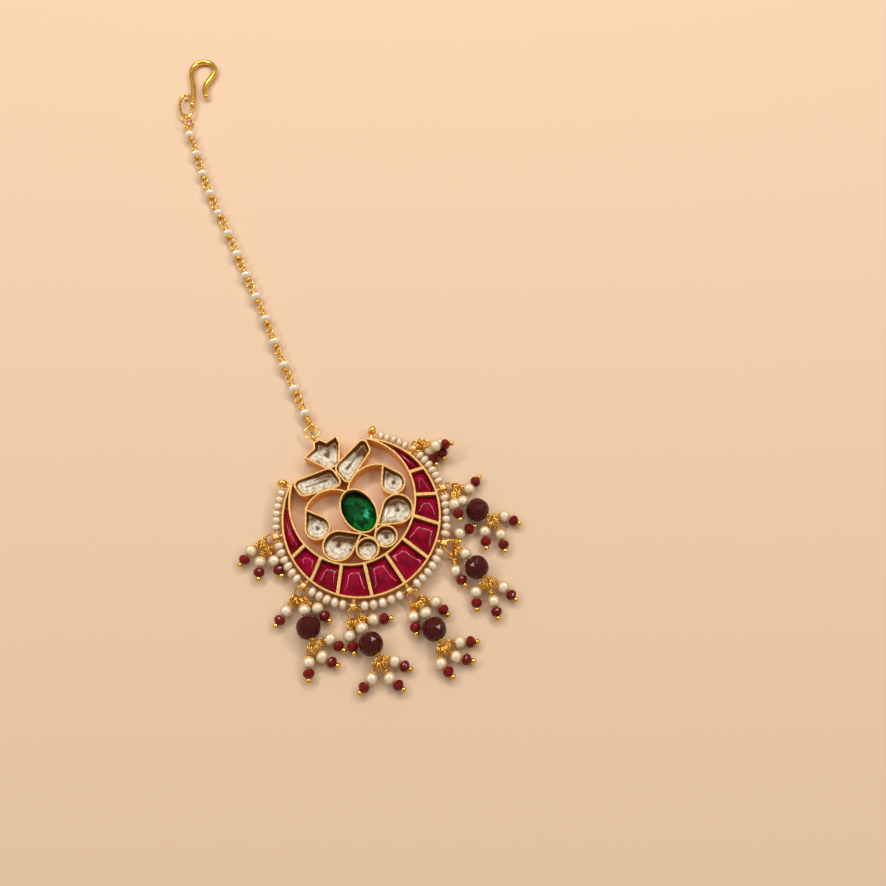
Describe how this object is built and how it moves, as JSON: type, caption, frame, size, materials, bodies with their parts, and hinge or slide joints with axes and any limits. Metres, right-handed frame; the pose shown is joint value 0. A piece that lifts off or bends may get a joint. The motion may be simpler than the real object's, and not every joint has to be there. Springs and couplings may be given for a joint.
{
  "type": "maang tikka",
  "caption": "Maang tikka: a stone-set gold crescent pendant with pearl and ruby bead drops, on a pearl chain that ends in a hair hook.",
  "frame": {"origin": "on the flat back of the pendant, behind the centre of the emerald", "axes": "+Z out of the pendant's face, +Y from the pendant along its middle towards the chain and the hook, +X to the right as the face is seen"},
  "size_m": [0.0596, 0.1849, 0.0054],
  "materials": {
    "gold": "polished",
    "ruby": "polished",
    "emerald": "polished",
    "clear_stone": "polished",
    "pearl": "satin",
    "dark_bead": "polished"
  },
  "bodies": {
    "root": {"pendant_frame": "gold", "ruby_inlay_1": "ruby", "ruby_inlay_2": "ruby", "ruby_inlay_3": "ruby", "ruby_inlay_4": "ruby", "ruby_inlay_5": "ruby", "ruby_inlay_6": "ruby", "ruby_inlay_7": "ruby", "ruby_inlay_8": "ruby", "ruby_inlay_9": "ruby", "ruby_inlay_10": "ruby", "emerald": "emerald", "crown_stone": "clear_stone", "oblong_stone_left": "clear_stone", "oblong_stone_right": "clear_stone", "small_drop_stone_left": "clear_stone", "small_drop_stone_right": "clear_stone", "large_drop_stone_left": "clear_stone", "large_drop_stone_right": "clear_stone", "round_stone_left": "clear_stone", "round_stone_right": "clear_stone", "rim_pearl_string": "pearl", "bail_ring": "gold", "pearl_chain": "pearl", "hook_ring": "gold", "hair_hook": "gold", "drop_1_jump_ring": "gold", "drop_1_cluster": "pearl", "drop_2_jump_ring": "gold", "drop_2_cluster": "pearl", "drop_2_large_bead": "dark_bead", "drop_2_lower_cluster": "pearl", "drop_3_jump_ring": "gold", "drop_3_cluster": "pearl", "drop_3_large_bead": "dark_bead", "drop_3_lower_cluster": "pearl", "drop_4_jump_ring": "gold", "drop_4_cluster": "pearl", "drop_4_large_bead": "dark_bead", "drop_4_lower_cluster": "pearl", "drop_5_jump_ring": "gold", "drop_5_cluster": "pearl", "drop_5_large_bead": "dark_bead", "drop_5_lower_cluster": "pearl", "drop_6_jump_ring": "gold", "drop_6_cluster": "pearl", "drop_6_large_bead": "dark_bead", "drop_6_lower_cluster": "pearl", "drop_7_jump_ring": "gold", "drop_7_cluster": "pearl"}
  },
  "joints": []
}
